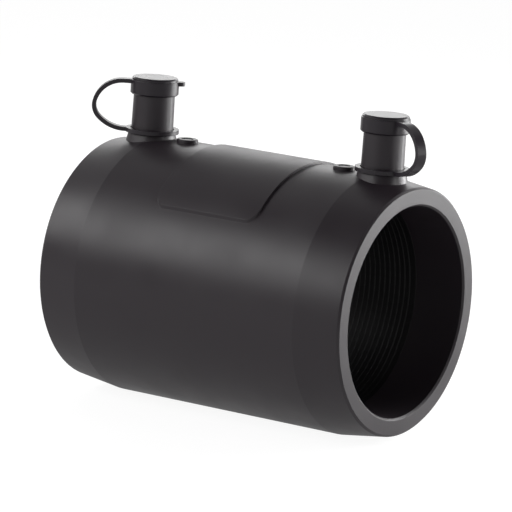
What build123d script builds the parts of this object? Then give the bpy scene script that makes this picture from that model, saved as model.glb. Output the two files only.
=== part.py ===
from build123d import *
import math
import os

os.makedirs("parts", exist_ok=True)

# Electrofusion pipe coupler, in millimetres. The bore runs along X, the terminals stand up along +Z,
# and the origin is the centre of the bore.

# Moulded body
body_length = 154.0
end_taper_length = 21.0
end_taper_drop = 2.7
face_edge_chamfer = 0.9
mouth_chamfer = 0.8

# Pipe socket, from the mouth inwards: plain entry, heating zone, cold centre with the pipe stop
socket_diameter = 90.8
wall_thickness = 10.6
entry_length = 24.0
heating_length = 41.0
coil_layer = 1.6
stop_rib_height = 2.2
stop_rib_width = 3.0
stop_rib_flank = 1.2

# Heating coil: wound layer with one ridge for each group of turns
coil_ridges = 5
coil_ridge_height = 0.6
lead_diameter = 1.2
lead_depth = 0.8

# Terminal shrouds moulded on the body
terminal_inset = 17.5
shroud_height = 24.0
shroud_wall = 2.15
shroud_draft = 0.3
shroud_bore = 13.5
shroud_depth = 15.5
rim_chamfer = 0.4
foot_step = 1.1
foot_height = 1.6
foot_flare = 1.6

# Terminal pins
pin_diameter = 4.7
pin_length = 11.0
pin_chamfer = 0.6
collar_diameter = 6.0
collar_height = 1.2
flange_diameter = 6.8
flange_height = 4.0
neck_diameter = 5.0
neck_height = 6.5
tail_diameter = 1.8

# Terminal caps with their pull tab, strap and foot ring
cap_gap = 0.3
skirt_wall = 1.0
skirt_length = 5.7
skirt_taper = 0.6
cap_top_thickness = 1.9
disc_step = 0.5
disc_height = 1.4
disc_chamfer = 0.6
lip_wall = 1.05
lip_length = 3.0
tab_length = 2.6
ring_gap = 0.35
ring_width = 2.15
strap_width = 4.5
strap_thickness = 1.8
strap_upper_radius = 12.5
strap_upper_turn = 75.0
strap_outer_radius = 7.2
strap_outer_turn = 60.0
strap_return_turn = 180.0 - strap_upper_turn - strap_outer_turn
strap_foot_run = 1.4
left_strap_direction = 213.5
right_strap_direction = -21.5

# Raised label pad, left bare
pad_length = 52.0
pad_angle = 66.0
pad_height = 1.0
pad_corner = 5.0

# Fusion indicators
indicator_offset = 40.5
indicator_collar_diameter = 9.4
indicator_collar_height = 1.6
indicator_pin_diameter = 4.6
indicator_well_gap = 0.35
indicator_well_depth = 1.3
indicator_recess = 0.3
indicator_chamfer = 0.4

# Levels and radii that follow from the sizes above
socket_radius = socket_diameter / 2
body_radius = socket_radius + wall_thickness
half_length = body_length / 2
face_radius = body_radius - end_taper_drop
coil_seat_radius = socket_radius + coil_layer
heat_outer = half_length - entry_length
heat_inner = heat_outer - heating_length
rib_radius = socket_radius - stop_rib_height
terminal_x = half_length - terminal_inset
rim_z = body_radius + shroud_height
shroud_floor_z = rim_z - shroud_depth
foot_top_z = body_radius + foot_height
shroud_root_z = (body_radius + socket_radius) / 2
lead_z = socket_radius + lead_depth
tail_bottom_z = lead_z + lead_diameter / 2
flange_z = shroud_floor_z - neck_height - flange_height
cap_seat_z = rim_z + cap_gap
cap_top_z = cap_seat_z + cap_top_thickness
disc_z = cap_top_z - disc_height
skirt_bottom_z = cap_seat_z - skirt_length
shroud_bore_radius = shroud_bore / 2
shroud_rim_radius = shroud_bore_radius + shroud_wall
shroud_root_radius = shroud_rim_radius + shroud_draft
foot_radius = shroud_root_radius + foot_step
skirt_inner_radius = shroud_root_radius + cap_gap
skirt_radius = skirt_inner_radius + skirt_wall
disc_radius = skirt_radius - disc_step
ring_inner_radius = shroud_root_radius + ring_gap
ring_radius = ring_inner_radius + ring_width
ring_bottom_z = foot_top_z + cap_gap
ring_z = ring_bottom_z + strap_thickness / 2
strap_z = disc_z - strap_thickness / 2
indicator_top_z = body_radius + indicator_collar_height
indicator_well_radius = indicator_pin_diameter / 2 + indicator_well_gap
indicator_well_z = indicator_top_z - indicator_well_depth

# Heating coil: one wire from pin to pin, wound in two layers that lie in the socket's seats
ridge_pitch = heating_length / coil_ridges
ridge_foot_radius = socket_radius + coil_ridge_height

with BuildPart() as coil_wire:
    with BuildSketch(Plane.YZ.offset(-terminal_x)):
        with Locations((0, lead_z)):
            Circle(lead_diameter / 2)
    extrude(amount=2 * terminal_x)
    for side in (-1, 1):
        with Locations((side * terminal_x, 0, lead_z)):
            Cylinder(tail_diameter / 2, lead_diameter)

with BuildPart() as heating_coil:
    for side in (-1, 1):
        with BuildSketch(Plane.XZ):
            with BuildLine():
                start = side * heat_inner
                crests = [(start, ridge_foot_radius)]
                for ridge in range(coil_ridges):
                    middle = start + side * (ridge + 0.5) * ridge_pitch
                    crests.append((middle, socket_radius))
                    crests.append((middle + side * ridge_pitch / 2, ridge_foot_radius))
                Polyline(*crests)
                outer_end = (side * heat_outer, coil_seat_radius)
                inner_end = (start, coil_seat_radius)
                Polyline(crests[-1], outer_end, inner_end, crests[0])
            make_face()
        revolve(axis=Axis.X)
    add(coil_wire.part)
heating_coil.part.label = "heating_coil"

# Terminal pin: tail down to the coil's lead, flange and neck gripped by the body, collar and contact pin
flange_radius = flange_diameter / 2
neck_radius = neck_diameter / 2
collar_top_z = shroud_floor_z + collar_height
pin_top_z = shroud_floor_z + pin_length
flange_top_z = flange_z + flange_height

with BuildPart() as pin_form:
    with BuildSketch(Plane.XZ):
        with BuildLine():
            Polyline(
                (0, tail_bottom_z),
                (tail_diameter / 2, tail_bottom_z),
                (tail_diameter / 2, flange_z),
                (flange_radius, flange_z),
                (flange_radius, flange_top_z),
                (neck_radius, flange_top_z),
                (neck_radius, shroud_floor_z),
                (collar_diameter / 2, shroud_floor_z),
                (collar_diameter / 2, collar_top_z),
                (pin_diameter / 2, collar_top_z),
                (pin_diameter / 2, pin_top_z - pin_chamfer),
                (pin_diameter / 2 - pin_chamfer, pin_top_z),
                (0, pin_top_z),
                close=True,
            )
        make_face()
    revolve(axis=Axis.Z)

with BuildPart() as terminal_pin_left:
    with Locations((-terminal_x, 0, 0)):
        add(pin_form.part)
terminal_pin_left.part.label = "terminal_pin_left"

with BuildPart() as terminal_pin_right:
    with Locations((terminal_x, 0, 0)):
        add(pin_form.part)
terminal_pin_right.part.label = "terminal_pin_right"

# Fusion indicator: a plug that the melt pushes up once
indicator_seat_z = (body_radius + coil_seat_radius) / 2
indicator_pin_top_z = indicator_top_z - indicator_recess

with BuildPart() as indicator_form:
    with BuildSketch(Plane.XY.offset(indicator_seat_z)):
        Circle(indicator_pin_diameter / 2)
    extrude(amount=indicator_pin_top_z - indicator_seat_z)
    chamfer(indicator_form.faces().sort_by(Axis.Z)[-1].edges(), indicator_recess)

with BuildPart() as fusion_indicator_left:
    with Locations((-indicator_offset, 0, 0)):
        add(indicator_form.part)
fusion_indicator_left.part.label = "fusion_indicator_left"

with BuildPart() as fusion_indicator_right:
    with Locations((indicator_offset, 0, 0)):
        add(indicator_form.part)
fusion_indicator_right.part.label = "fusion_indicator_right"

# Label pad: a rounded rectangle seen from above, wrapped round the body's top
with BuildPart() as label_pad:
    with BuildSketch(Plane.YZ.offset(-pad_length / 2)):
        Circle(body_radius + pad_height)
    extrude(amount=pad_length)
    pad_chord = 2 * (body_radius + pad_height) * (1 - (1 - pad_angle / 180) ** 2) ** 0.5
    with BuildSketch(Plane.XY):
        RectangleRounded(pad_length, pad_chord, pad_corner)
    extrude(amount=2 * body_radius, mode=Mode.INTERSECT)

collar_radius = indicator_collar_diameter / 2

# Body: one moulding with its shrouds, label pad and indicator collars
with BuildPart() as coupler_body:
    with BuildSketch(Plane.XZ):
        with BuildLine():
            taper_x = half_length - end_taper_length
            Polyline(
                (-half_length, 0),
                (-half_length, face_radius - face_edge_chamfer),
                (face_edge_chamfer - half_length, face_radius),
                (-taper_x, body_radius),
                (taper_x, body_radius),
                (half_length - face_edge_chamfer, face_radius),
                (half_length, face_radius - face_edge_chamfer),
                (half_length, 0),
                close=True,
            )
        make_face()
    revolve(axis=Axis.X)
    add(label_pad.part)

    for side in (-1, 1):
        axis_x = side * terminal_x
        with BuildSketch(Plane.XZ):
            with BuildLine():
                Polyline(
                    (axis_x, shroud_root_z),
                    (axis_x + foot_radius + foot_flare, shroud_root_z),
                    (axis_x + foot_radius, foot_top_z),
                    (axis_x + shroud_root_radius, foot_top_z),
                    (axis_x + shroud_rim_radius, rim_z - rim_chamfer),
                    (axis_x + shroud_rim_radius - rim_chamfer, rim_z),
                    (axis_x + shroud_bore_radius + rim_chamfer, rim_z),
                    (axis_x + shroud_bore_radius, rim_z - rim_chamfer),
                    (axis_x + shroud_bore_radius, shroud_floor_z),
                    (axis_x, shroud_floor_z),
                    close=True,
                )
            make_face()
        revolve(axis=Axis((axis_x, 0, 0), (0, 0, 1)))

        collar_x = side * indicator_offset
        with BuildSketch(Plane.XZ):
            with BuildLine():
                Polyline(
                    (collar_x, shroud_root_z),
                    (collar_x + collar_radius, shroud_root_z),
                    (collar_x + collar_radius, indicator_top_z - indicator_chamfer),
                    (collar_x + collar_radius - indicator_chamfer, indicator_top_z),
                    (collar_x + indicator_well_radius, indicator_top_z),
                    (collar_x + indicator_well_radius, indicator_well_z),
                    (collar_x, indicator_well_z),
                    close=True,
                )
            make_face()
        revolve(axis=Axis((collar_x, 0, 0), (0, 0, 1)))

    right_wall = [
        (stop_rib_width / 2, rib_radius),
        (stop_rib_width / 2 + stop_rib_flank, socket_radius),
        (heat_inner, socket_radius),
        (heat_inner, coil_seat_radius),
        (heat_outer, coil_seat_radius),
        (heat_outer, socket_radius),
        (half_length - mouth_chamfer, socket_radius),
        (half_length, socket_radius + mouth_chamfer),
        (half_length, 0),
    ]
    left_wall = [(-x, radius) for x, radius in reversed(right_wall)]
    with BuildSketch(Plane.XZ):
        with BuildLine():
            Polyline(*left_wall, *right_wall, close=True)
        make_face()
    revolve(axis=Axis.X, mode=Mode.SUBTRACT)

    add(coil_wire.part, mode=Mode.SUBTRACT)
    add(terminal_pin_left.part, mode=Mode.SUBTRACT)
    add(terminal_pin_right.part, mode=Mode.SUBTRACT)
    add(fusion_indicator_left.part, mode=Mode.SUBTRACT)
    add(fusion_indicator_right.part, mode=Mode.SUBTRACT)
coupler_body.part.label = "coupler_body"

# Terminal cap: cap, pull tab, strap and foot ring moulded as one, with the strap towards local +X
lip_radius = shroud_bore_radius - cap_gap
lip_inner_radius = lip_radius - lip_wall
strap_start = (skirt_inner_radius + skirt_radius) / 2
strap_end = (ring_inner_radius + ring_radius) / 2

# The strap bends down, round and back. Its last bend and its top run close it on the foot ring.
cos_upper = math.cos(math.radians(strap_upper_turn))
sin_upper = math.sin(math.radians(strap_upper_turn))
cos_outer = math.cos(math.radians(strap_upper_turn + strap_outer_turn))
sin_outer = math.sin(math.radians(strap_upper_turn + strap_outer_turn))
upper_drop = strap_upper_radius * (1 - cos_upper)
outer_drop = strap_outer_radius * (cos_upper - cos_outer)
strap_return_radius = (strap_z - upper_drop - outer_drop - ring_z) / (1 + cos_outer)
upper_reach = strap_upper_radius * sin_upper
outer_reach = strap_outer_radius * (sin_outer - sin_upper)
return_reach = strap_return_radius * sin_outer
strap_top_run = strap_end + strap_foot_run - strap_start - upper_reach - outer_reach + return_reach

with BuildPart() as cap_form:
    with BuildSketch(Plane.XZ):
        with BuildLine():
            Polyline(
                (0, cap_top_z),
                (disc_radius - disc_chamfer, cap_top_z),
                (disc_radius, cap_top_z - disc_chamfer),
                (disc_radius, disc_z),
                (skirt_radius, disc_z),
                (skirt_radius, skirt_bottom_z + skirt_taper),
                (skirt_radius - skirt_taper, skirt_bottom_z),
                (skirt_inner_radius, skirt_bottom_z),
                (skirt_inner_radius, cap_seat_z),
                (lip_radius, cap_seat_z),
                (lip_radius, cap_seat_z - lip_length),
                (lip_inner_radius, cap_seat_z - lip_length),
                (lip_inner_radius, cap_seat_z),
                (0, cap_seat_z),
                close=True,
            )
        make_face()
    revolve(axis=Axis.Z)

    with BuildSketch(Plane.XY.offset(strap_z - strap_thickness / 2)):
        with Locations((-strap_start, 0)):
            tab_run = skirt_radius + tab_length - strap_start
            SlotCenterPoint((0, 0), (-tab_run + strap_width / 2, 0), strap_width)
        Circle(strap_start, mode=Mode.SUBTRACT)
    extrude(amount=strap_thickness)

    with BuildSketch(Plane.XY.offset(ring_bottom_z)):
        Circle(ring_radius)
        Circle(ring_inner_radius, mode=Mode.SUBTRACT)
    extrude(amount=strap_thickness)

    with BuildLine(Plane.XZ):
        top_run = Line((strap_start, strap_z), (strap_start + strap_top_run, strap_z))
        upper_bend = JernArc(top_run @ 1, top_run % 1, strap_upper_radius, -strap_upper_turn)
        outer_bend = JernArc(upper_bend @ 1, upper_bend % 1, strap_outer_radius, -strap_outer_turn)
        return_bend = JernArc(outer_bend @ 1, outer_bend % 1, strap_return_radius, -strap_return_turn)
        Line(return_bend @ 1, (strap_end, ring_z))
    with BuildSketch(Plane.YZ.offset(strap_start)):
        with Locations((0, strap_z)):
            Rectangle(strap_width, strap_thickness)
    sweep()

with BuildPart() as terminal_cap_left:
    with Locations(Location((-terminal_x, 0, 0), (0, 0, left_strap_direction))):
        add(cap_form.part)
terminal_cap_left.part.label = "terminal_cap_left"

with BuildPart() as terminal_cap_right:
    with Locations(Location((terminal_x, 0, 0), (0, 0, right_strap_direction))):
        add(cap_form.part)
terminal_cap_right.part.label = "terminal_cap_right"

nodes = [
    coupler_body,
    heating_coil,
    terminal_pin_left,
    terminal_pin_right,
    terminal_cap_left,
    terminal_cap_right,
    fusion_indicator_left,
    fusion_indicator_right,
]
for node in nodes:
    export_step(node.part, f"parts/{node.part.label}.step")
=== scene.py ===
"""Electrofusion coupler: finishes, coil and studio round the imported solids."""

import logging
import math
from dataclasses import dataclass, field
from enum import Enum

import bmesh
import bpy
from mathutils import Matrix, Vector


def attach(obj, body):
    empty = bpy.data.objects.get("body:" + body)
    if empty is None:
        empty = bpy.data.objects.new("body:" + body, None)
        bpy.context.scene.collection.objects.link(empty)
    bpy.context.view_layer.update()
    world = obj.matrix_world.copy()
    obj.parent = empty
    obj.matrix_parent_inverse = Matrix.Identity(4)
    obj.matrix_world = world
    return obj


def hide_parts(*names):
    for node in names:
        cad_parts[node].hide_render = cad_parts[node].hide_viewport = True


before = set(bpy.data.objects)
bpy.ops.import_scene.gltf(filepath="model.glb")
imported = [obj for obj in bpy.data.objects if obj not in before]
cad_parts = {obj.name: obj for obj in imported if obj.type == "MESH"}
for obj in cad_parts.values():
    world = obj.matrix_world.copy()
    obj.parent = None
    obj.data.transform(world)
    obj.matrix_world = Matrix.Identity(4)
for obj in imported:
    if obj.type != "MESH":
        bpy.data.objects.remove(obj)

LOG = logging.getLogger("coupler")
MM = 0.001
MERGE_DISTANCE = 1e-7
SHARP_ANGLE = math.radians(40)
# Distance between two bands of a wave texture at scale 1.
WAVE_SPACING = 0.314


class Side(Enum):
    """The two ends of the coupler, with the sign of each along X."""

    LEFT = -1
    RIGHT = 1


def linear(hex_colour: str) -> tuple[float, float, float, float]:
    """Turns an sRGB colour into linear light, by the curve of that standard.

    Args:
        hex_colour: Six hex digits.

    Returns:
        Red, green, blue and alpha in linear light.
    """
    values = [int(hex_colour[i : i + 2], 16) / 255 for i in (0, 2, 4)]
    red, green, blue = (
        v / 12.92 if v <= 0.04045 else ((v + 0.055) / 1.055) ** 2.4 for v in values
    )
    return (red, green, blue, 1.0)


def set_inputs(
    tree: bpy.types.NodeTree, node: bpy.types.Node, inputs: dict[str | int, object]
) -> None:
    """Gives a node's inputs their values or links.

    Args:
        tree: Tree that holds the node.
        node: Node to set.
        inputs: A value, or a socket to link from, by input name or place.
    """
    for key, value in inputs.items():
        socket = node.inputs[key]
        if isinstance(value, bpy.types.NodeSocket):
            tree.links.new(value, socket)
        else:
            socket.default_value = value


def add_node(
    tree: bpy.types.NodeTree,
    kind: str,
    inputs: dict[str | int, object] | None = None,
    **settings: object,
) -> bpy.types.Node:
    """Adds a node with its settings and links.

    Args:
        tree: Tree that takes the node.
        kind: Node type name.
        inputs: A value, or a socket to link from, by input name or place.
        settings: The node's own properties.

    Returns:
        The new node.
    """
    node = tree.nodes.new(kind)
    for name, value in settings.items():
        setattr(node, name, value)
    set_inputs(tree, node, inputs or {})
    return node


@dataclass(frozen=True)
class MouldedPlastic:
    """Injection moulded polyethylene: satin, with tool grain and slow flow marks.

    Real tool grain is finer than these grains, which are as coarse as they need
    to be to break up a highlight.
    """

    name: str
    colour: str
    roughness: float
    roughness_spread: float = 0.05
    ior: float = 1.5
    flow_mm: float = 26.0
    flow_detail: float = 3.0
    flow_roughness: float = 0.5
    flow_low: float = 0.3
    flow_high: float = 0.7
    grain_mm: float = 0.35
    grain_depth_mm: float = 0.012
    grain_detail: float = 2.0
    grain_roughness: float = 0.6
    edge_mm: float = 0.22
    edge_samples: int = 4

    def build(self) -> bpy.types.Material:
        """Builds the material."""
        material = bpy.data.materials.new(self.name)
        material.use_nodes = True
        tree = material.node_tree
        place = add_node(tree, "ShaderNodeTexCoord").outputs["Object"]
        flow = add_node(tree, "ShaderNodeTexNoise", {
            "Vector": place,
            "Scale": 1 / (self.flow_mm * MM),
            "Detail": self.flow_detail,
            "Roughness": self.flow_roughness,
        })
        sheen = add_node(tree, "ShaderNodeMapRange", {
            "Value": flow.outputs["Fac"],
            "From Min": self.flow_low,
            "From Max": self.flow_high,
            "To Min": self.roughness - self.roughness_spread,
            "To Max": self.roughness + self.roughness_spread,
        })
        grain = add_node(tree, "ShaderNodeTexNoise", {
            "Vector": place,
            "Scale": 1 / (self.grain_mm * MM),
            "Detail": self.grain_detail,
            "Roughness": self.grain_roughness,
        })
        # Moulded edges are a little round, so they catch a thin line of light.
        edge = add_node(
            tree,
            "ShaderNodeBevel",
            {"Radius": self.edge_mm * MM},
            samples=self.edge_samples,
        )
        bump = add_node(tree, "ShaderNodeBump", {
            "Height": grain.outputs["Fac"],
            "Normal": edge.outputs["Normal"],
            "Strength": 1.0,
            "Distance": self.grain_depth_mm * MM,
        })
        set_inputs(tree, tree.nodes["Principled BSDF"], {
            "Base Color": linear(self.colour),
            "Roughness": sheen.outputs["Result"],
            "IOR": self.ior,
            "Normal": bump.outputs["Normal"],
        })
        return material


@dataclass(frozen=True)
class TurnedMetal:
    """Metal turned on a lathe, whose fine rings spread a highlight along its axis.

    The rings are wider apart than a real tool leaves them, so that they show.
    """

    name: str
    colour: str
    roughness: float
    ring_mm: float = 0.12
    ring_depth_mm: float = 0.004
    ring_waver: float = 0.4

    def build(self) -> bpy.types.Material:
        """Builds the material, with its rings one above another along Z."""
        material = bpy.data.materials.new(self.name)
        material.use_nodes = True
        tree = material.node_tree
        place = add_node(tree, "ShaderNodeTexCoord").outputs["Object"]
        rings = add_node(
            tree,
            "ShaderNodeTexWave",
            {
                "Vector": place,
                "Scale": WAVE_SPACING / (self.ring_mm * MM),
                "Distortion": self.ring_waver,
            },
            bands_direction="Z",
        )
        bump = add_node(tree, "ShaderNodeBump", {
            "Height": rings.outputs["Fac"],
            "Strength": 1.0,
            "Distance": self.ring_depth_mm * MM,
        })
        set_inputs(tree, tree.nodes["Principled BSDF"], {
            "Base Color": linear(self.colour),
            "Metallic": 1.0,
            "Roughness": self.roughness,
            "Normal": bump.outputs["Normal"],
        })
        return material


@dataclass(frozen=True)
class StudioPaper:
    """Matt background paper that is lit evenly, so it glows by itself.

    It looks almost white, and gives the coupler less light than it shows, because
    more of it would wash out the lower half of a black part.
    """

    name: str = "pale_paper_sweep"
    colour: str = "6a6a6a"
    glow_colour: str = "ffffff"
    roughness: float = 0.9
    glow_seen: float = 0.92
    glow_given: float = 0.44

    def build(self) -> bpy.types.Material:
        """Builds the material, which only the stage wears."""
        material = bpy.data.materials.new(self.name)
        material.use_nodes = True
        tree = material.node_tree
        glow = add_node(tree, "ShaderNodeMapRange", {
            "Value": add_node(tree, "ShaderNodeLightPath").outputs["Is Camera Ray"],
            "To Min": self.glow_given,
            "To Max": self.glow_seen,
        })
        set_inputs(tree, tree.nodes["Principled BSDF"], {
            "Base Color": linear(self.colour),
            "Roughness": self.roughness,
            "Emission Color": linear(self.glow_colour),
            "Emission Strength": glow.outputs["Result"],
        })
        return material


# Black pipe-grade polyethylene, moulded: a broad soft highlight along the body.
BODY = MouldedPlastic("moulded_black_polyethylene", "2b252a", 0.4)
# A softer, glossier moulding: a tighter highlight on caps and straps.
CAP = MouldedPlastic(
    "moulded_black_cap_plastic", "241e25", 0.3, grain_mm=0.25, grain_depth_mm=0.008
)
# The thin layer over the wire, with the shade of the socket painted into its colour:
# darker than the body.
COIL_SKIN_PAINTED_SHADE = MouldedPlastic("polyethylene_over_coil_painted_shade", "131214", 0.4, grain_mm=0.3)
# The same layer where a turn lifts it, with the same painted shade of the socket: faint
# rings with hardly any gloss.
WIRE_PAINTED_SHADE = MouldedPlastic(
    "polyethylene_drawn_over_wire_painted_shade", "151315", 0.42, grain_mm=0.2, edge_mm=0.05
)
# Small moulded plugs: a shade darker and duller than the body round them.
PLUG = MouldedPlastic("moulded_indicator_plug", "1a191b", 0.42)
# Turned brass: warm and bright, seen once a cap is off.
PIN = TurnedMetal("turned_brass_pin", "c8a45c", 0.24)


def add_to_scene(name: str, data: bpy.types.ID) -> bpy.types.Object:
    """Makes an object and puts it in the scene.

    Args:
        name: Name of the object.
        data: Mesh, light or camera that it shows.

    Returns:
        The linked object.
    """
    made = bpy.data.objects.new(name, data)
    bpy.context.scene.collection.objects.link(made)
    return made


def mesh_object(
    name: str, work: bmesh.types.BMesh, material: bpy.types.Material
) -> bpy.types.Object:
    """Makes an object from a finished bmesh.

    Args:
        name: Name of the piece.
        work: Mesh in progress, freed here.
        material: Finish of the piece.

    Returns:
        The linked object.
    """
    bmesh.ops.remove_doubles(work, verts=work.verts, dist=MERGE_DISTANCE)
    bmesh.ops.recalc_face_normals(work, faces=work.faces)
    mesh = bpy.data.meshes.new(name)
    work.to_mesh(mesh)
    work.free()
    piece = add_to_scene(name, mesh)
    mesh.materials.append(material)
    mesh.shade_smooth()
    mesh.set_sharp_from_angle(angle=SHARP_ANGLE)
    return piece


@dataclass
class Coil:
    """Both heating zones: a smooth sleeve in the socket wall, and the wire in it.

    The turns stand a tenth of a millimetre out of their sleeve, and both stay
    behind the 45.4 mm wall of the socket.
    """

    start_x: float = 12.0 * MM
    end_x: float = 53.0 * MM
    seat_radius: float = 47.0 * MM
    sleeve_radius: float = 45.55 * MM
    sleeve_chamfer: float = 0.3 * MM
    sleeve_segments: int = 180
    turns: int = 15
    turn_radius: float = 45.76 * MM
    turn_margin: float = 1.4 * MM
    steps_per_turn: int = 72
    wire_radius: float = 0.3 * MM
    wire_sides: int = 8

    def tree(self, material: bpy.types.Material) -> bpy.types.GeometryNodeTree:
        """Builds the node tree that winds a wire along X.

        Args:
            material: Finish of the wire.

        Returns:
            A tree with named size inputs.
        """
        tree = bpy.data.node_groups.new("wound_wire", "GeometryNodeTree")
        sockets = [("Geometry", "INPUT", "NodeSocketGeometry")]
        sockets += [
            (name, "INPUT", "NodeSocketFloat")
            for name in ("Start X", "Length", "Radius", "Turns", "Wire Radius")
        ]
        sockets += [
            ("Points", "INPUT", "NodeSocketInt"),
            ("Wire Sides", "INPUT", "NodeSocketInt"),
            ("Geometry", "OUTPUT", "NodeSocketGeometry"),
        ]
        for name, way, kind in sockets:
            tree.interface.new_socket(name, in_out=way, socket_type=kind)
        given = add_node(tree, "NodeGroupInput").outputs

        # The angle and the place along X both grow evenly from end to end.
        line = add_node(tree, "GeometryNodeMeshLine", {"Count": given["Points"]})
        path = add_node(
            tree, "GeometryNodeMeshToCurve", {"Mesh": line.outputs["Mesh"]}
        )
        along = add_node(tree, "GeometryNodeSplineParameter").outputs["Factor"]
        turned = add_node(
            tree, "ShaderNodeMath", {0: along, 1: given["Turns"]}, operation="MULTIPLY"
        )
        angle = add_node(
            tree,
            "ShaderNodeMath",
            {0: turned.outputs[0], 1: 2 * math.pi},
            operation="MULTIPLY",
        )
        advance = add_node(
            tree, "ShaderNodeMath", {0: along, 1: given["Length"]}, operation="MULTIPLY"
        )
        x = add_node(
            tree,
            "ShaderNodeMath",
            {0: given["Start X"], 1: advance.outputs[0]},
            operation="ADD",
        )
        y, z = (
            add_node(
                tree,
                "ShaderNodeMath",
                {
                    0: add_node(
                        tree, "ShaderNodeMath", {0: angle.outputs[0]}, operation=wave
                    ).outputs[0],
                    1: given["Radius"],
                },
                operation="MULTIPLY",
            )
            for wave in ("SINE", "COSINE")
        )
        place = add_node(tree, "ShaderNodeCombineXYZ", {
            "X": x.outputs[0],
            "Y": y.outputs[0],
            "Z": z.outputs[0],
        })
        helix = add_node(tree, "GeometryNodeSetPosition", {
            "Geometry": path.outputs["Curve"],
            "Position": place.outputs["Vector"],
        })
        section = add_node(tree, "GeometryNodeCurvePrimitiveCircle", {
            "Resolution": given["Wire Sides"],
            "Radius": given["Wire Radius"],
        })
        wire = add_node(tree, "GeometryNodeCurveToMesh", {
            "Curve": helix.outputs["Geometry"],
            "Profile Curve": section.outputs["Curve"],
            "Fill Caps": True,
        })
        real = add_node(
            tree, "GeometryNodeRealizeInstances", {"Geometry": wire.outputs["Mesh"]}
        )
        dressed = add_node(tree, "GeometryNodeSetMaterial", {
            "Geometry": real.outputs["Geometry"],
            "Material": material,
        })
        add_node(tree, "NodeGroupOutput", {"Geometry": dressed.outputs["Geometry"]})
        return tree

    def sleeves(self) -> bpy.types.Object:
        """Makes the two sleeves that the wire lies in.

        Returns:
            One object for both zones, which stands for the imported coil.
        """
        profile = (
            (self.start_x, self.seat_radius),
            (self.start_x, self.sleeve_radius + self.sleeve_chamfer),
            (self.start_x + self.sleeve_chamfer, self.sleeve_radius),
            (self.end_x - self.sleeve_chamfer, self.sleeve_radius),
            (self.end_x, self.sleeve_radius + self.sleeve_chamfer),
            (self.end_x, self.seat_radius),
        )
        count = self.sleeve_segments
        angles = [2 * math.pi * step / count for step in range(count)]
        work = bmesh.new()
        for side in Side:
            rings = [
                [
                    work.verts.new((
                        side.value * along,
                        radius * math.cos(angle),
                        radius * math.sin(angle),
                    ))
                    for angle in angles
                ]
                for along, radius in profile
            ]
            for ring, following in zip(rings, rings[1:] + rings[:1]):
                for step in range(count):
                    nearby = (step + 1) % count
                    work.faces.new((
                        ring[step], ring[nearby], following[nearby], following[step],
                    ))
        # The sleeves wear the painted shade of the socket.
        piece = mesh_object("coil_sleeves", work, COIL_SKIN_PAINTED_SHADE.build())
        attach(piece, "coupler")
        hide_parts("heating_coil")
        return piece

    def zone(self, side: Side, tree: bpy.types.GeometryNodeTree) -> bpy.types.Object:
        """Winds the wire of one zone.

        Args:
            side: End of the coupler that the zone lies at.
            tree: Tree that winds the wire.

        Returns:
            One plain mesh of wire.
        """
        first_x = self.start_x + self.turn_margin
        values = {
            "Start X": side.value * first_x,
            "Length": side.value * (self.end_x - self.turn_margin - first_x),
            "Radius": self.turn_radius,
            "Turns": float(self.turns),
            "Wire Radius": self.wire_radius,
            "Points": self.turns * self.steps_per_turn + 1,
            "Wire Sides": self.wire_sides,
        }
        host = add_to_scene("host", bpy.data.meshes.new("host"))
        modifier = host.modifiers.new("wind", "NODES")
        modifier.node_group = tree
        for item in tree.interface.items_tree:
            if item.in_out == "INPUT" and item.name in values:
                modifier[item.identifier] = values[item.name]
        shown = host.evaluated_get(bpy.context.evaluated_depsgraph_get())
        mesh = bpy.data.meshes.new_from_object(shown)
        bpy.data.objects.remove(host)
        name = f"coil_turns_{side.name.lower()}"
        mesh.name = name
        mesh.shade_smooth()
        piece = add_to_scene(name, mesh)
        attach(piece, "coupler")
        return piece

    def build(self) -> list[bpy.types.Object]:
        """Makes the sleeves and winds both zones.

        Returns:
            The sleeves, then the wire of each zone.
        """
        # The wire wears the painted shade of the socket too.
        tree = self.tree(WIRE_PAINTED_SHADE.build())
        return [self.sleeves(), *(self.zone(side, tree) for side in Side)]


@dataclass
class Coupler:
    """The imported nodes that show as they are, and the finish of each."""

    finishes: dict[str, MouldedPlastic | TurnedMetal] = field(default_factory=lambda: {
        "coupler_body": BODY,
        "terminal_pin_left": PIN,
        "terminal_pin_right": PIN,
        "terminal_cap_left": CAP,
        "terminal_cap_right": CAP,
        "fusion_indicator_left": PLUG,
        "fusion_indicator_right": PLUG,
    })

    def build(self) -> list[bpy.types.Object]:
        """Builds each finish once and gives it to its nodes.

        Returns:
            The dressed nodes.
        """
        built: dict[str, bpy.types.Material] = {}
        dressed = []
        for name, finish in self.finishes.items():
            if finish.name not in built:
                built[finish.name] = finish.build()
            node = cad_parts[name]
            node.data.materials.clear()
            node.data.materials.append(built[finish.name])
            dressed.append(node)
        return dressed


def direction(azimuth: float, elevation: float) -> Vector:
    """Unit vector from the coupler's centre towards a viewer or a light.

    Args:
        azimuth: Degrees round the vertical, 0 in front.
        elevation: Degrees above the horizon.

    Returns:
        The unit vector.
    """
    a, e = math.radians(azimuth), math.radians(elevation)
    return Vector((math.sin(a) * math.cos(e), -math.cos(a) * math.cos(e), math.sin(e)))


@dataclass(frozen=True)
class Softbox:
    """A rectangular studio light aimed at the coupler's centre."""

    name: str
    azimuth: float
    elevation: float
    width: float
    height: float
    power: float
    distance: float = 1.0

    def build(self) -> None:
        """Places the light."""
        light = bpy.data.lights.new(self.name, "AREA")
        light.shape = "RECTANGLE"
        light.size = self.width
        light.size_y = self.height
        light.energy = self.power
        lamp = add_to_scene(self.name, light)
        way = direction(self.azimuth, self.elevation)
        lamp.location = way * self.distance
        lamp.rotation_euler = way.to_track_quat("Z", "Y").to_euler()


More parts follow.
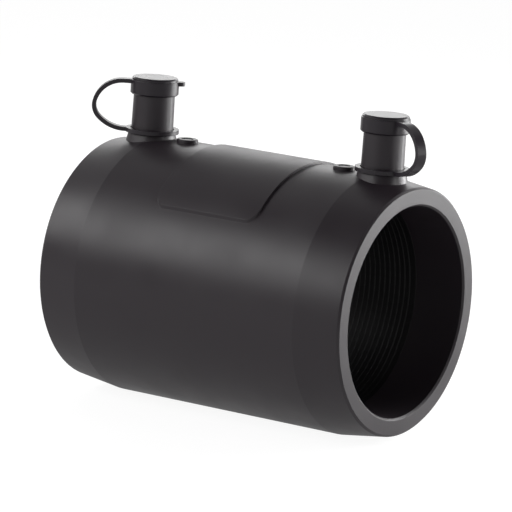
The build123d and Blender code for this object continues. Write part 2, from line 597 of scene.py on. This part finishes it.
@dataclass
class Studio:
    """Pale paper sweep, four soft lights, dim surroundings and a long lens.

    The key light draws the long band on the body, and the back light shows on the
    top line and the caps. The end light shows the right end face, and the last
    one gives the shrouds their upright highlight.
    """

    azimuth: float = 33.3
    elevation: float = 10.3
    roll: float = 3.9
    lens_mm: float = 300.0
    sensor_mm: float = 36.0
    clip_end: float = 50.0
    view_width: float = 0.2206
    rise: float = 0.0120
    floor_z: float = -56.1 * MM
    floor_reach: float = 9.0
    sweep_radius: float = 1.2
    sweep_steps: int = 18
    paper: StudioPaper = StudioPaper()
    surroundings_colour: str = "ffffff"
    horizon_glow: float = 0.1
    overhead_glow: float = 0.05
    # Sines of the heights between which one glow fades into the other.
    fade_from: float = 0.45
    fade_to: float = 0.85
    lights: tuple[Softbox, ...] = (
        Softbox(
            "key", azimuth=-37.0, elevation=29.0, width=1.3, height=0.46, power=6.4
        ),
        Softbox(
            "back", azimuth=-147.0, elevation=21.0, width=1.2, height=0.26, power=2.7
        ),
        Softbox(
            "end_side", azimuth=147.0, elevation=0.0, width=0.7, height=1.0, power=23.0
        ),
        Softbox(
            "terminals", azimuth=96.0, elevation=16.0, width=0.16, height=0.5, power=1.6
        ),
    )

    def sweep(self) -> None:
        """Makes the floor and the wall behind it as one curved sheet."""
        away = -direction(self.azimuth, 0)
        along = Vector((away.y, -away.x, 0))
        outline = [(-self.floor_reach, 0.0)]
        for step in range(self.sweep_steps + 1):
            t = math.radians(90 * step / self.sweep_steps)
            outline.append((
                self.sweep_radius * (1 + math.sin(t)),
                self.sweep_radius * (1 - math.cos(t)),
            ))
        outline.append((outline[-1][0], self.floor_reach))
        work = bmesh.new()
        rows = []
        for out, up in outline:
            base = away * out + Vector((0, 0, self.floor_z + up))
            rows.append([
                work.verts.new(base + along * (end * self.floor_reach))
                for end in (-1, 1)
            ])
        for low, high in zip(rows, rows[1:]):
            work.faces.new((low[0], low[1], high[1], high[0]))
        mesh_object("floor_sweep", work, self.paper.build())

    def camera(self) -> None:
        """Places the camera, with the coupler a little below the middle."""
        data = bpy.data.cameras.new("camera")
        data.lens = self.lens_mm
        data.sensor_width = self.sensor_mm
        data.clip_end = self.clip_end
        way = direction(self.azimuth, self.elevation)
        lean = Matrix.Rotation(math.radians(self.roll), 3, "Z")
        turn = way.to_track_quat("Z", "Y").to_matrix() @ lean
        distance = self.lens_mm * self.view_width / self.sensor_mm
        place = turn.to_4x4()
        place.translation = way * distance + turn @ Vector((0, self.rise, 0))
        seer = add_to_scene("camera", data)
        seer.matrix_world = place
        bpy.context.scene.camera = seer

    def surroundings(self) -> None:
        """Fills the rest of the room with a glow that fades towards the zenith."""
        world = bpy.data.worlds.new("dim_surroundings")
        world.use_nodes = True
        tree = world.node_tree
        place = add_node(tree, "ShaderNodeTexCoord").outputs["Generated"]
        split = add_node(tree, "ShaderNodeSeparateXYZ", {"Vector": place})
        fade = add_node(tree, "ShaderNodeMapRange", {
            "Value": split.outputs["Z"],
            "From Min": self.fade_from,
            "From Max": self.fade_to,
            "To Min": self.horizon_glow,
            "To Max": self.overhead_glow,
        })
        set_inputs(tree, tree.nodes["Background"], {
            "Color": linear(self.surroundings_colour),
            "Strength": fade.outputs["Result"],
        })
        bpy.context.scene.world = world

    def build(self) -> None:
        """Sets up everything that isn't part of the coupler."""
        self.sweep()
        self.camera()
        for light in self.lights:
            light.build()
        self.surroundings()
        bpy.context.scene.view_settings.view_transform = "Standard"


def main() -> None:
    """Dresses the coupler, winds its coil and sets up the studio."""
    logging.basicConfig(level=logging.INFO)
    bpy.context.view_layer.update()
    for piece in [*Coupler().build(), *Coil().build()]:
        finish = piece.data.materials[0].name
        LOG.info("%s: %d faces, %s", piece.name, len(piece.data.polygons), finish)
    Studio().build()


if __name__ == "__main__":
    main()
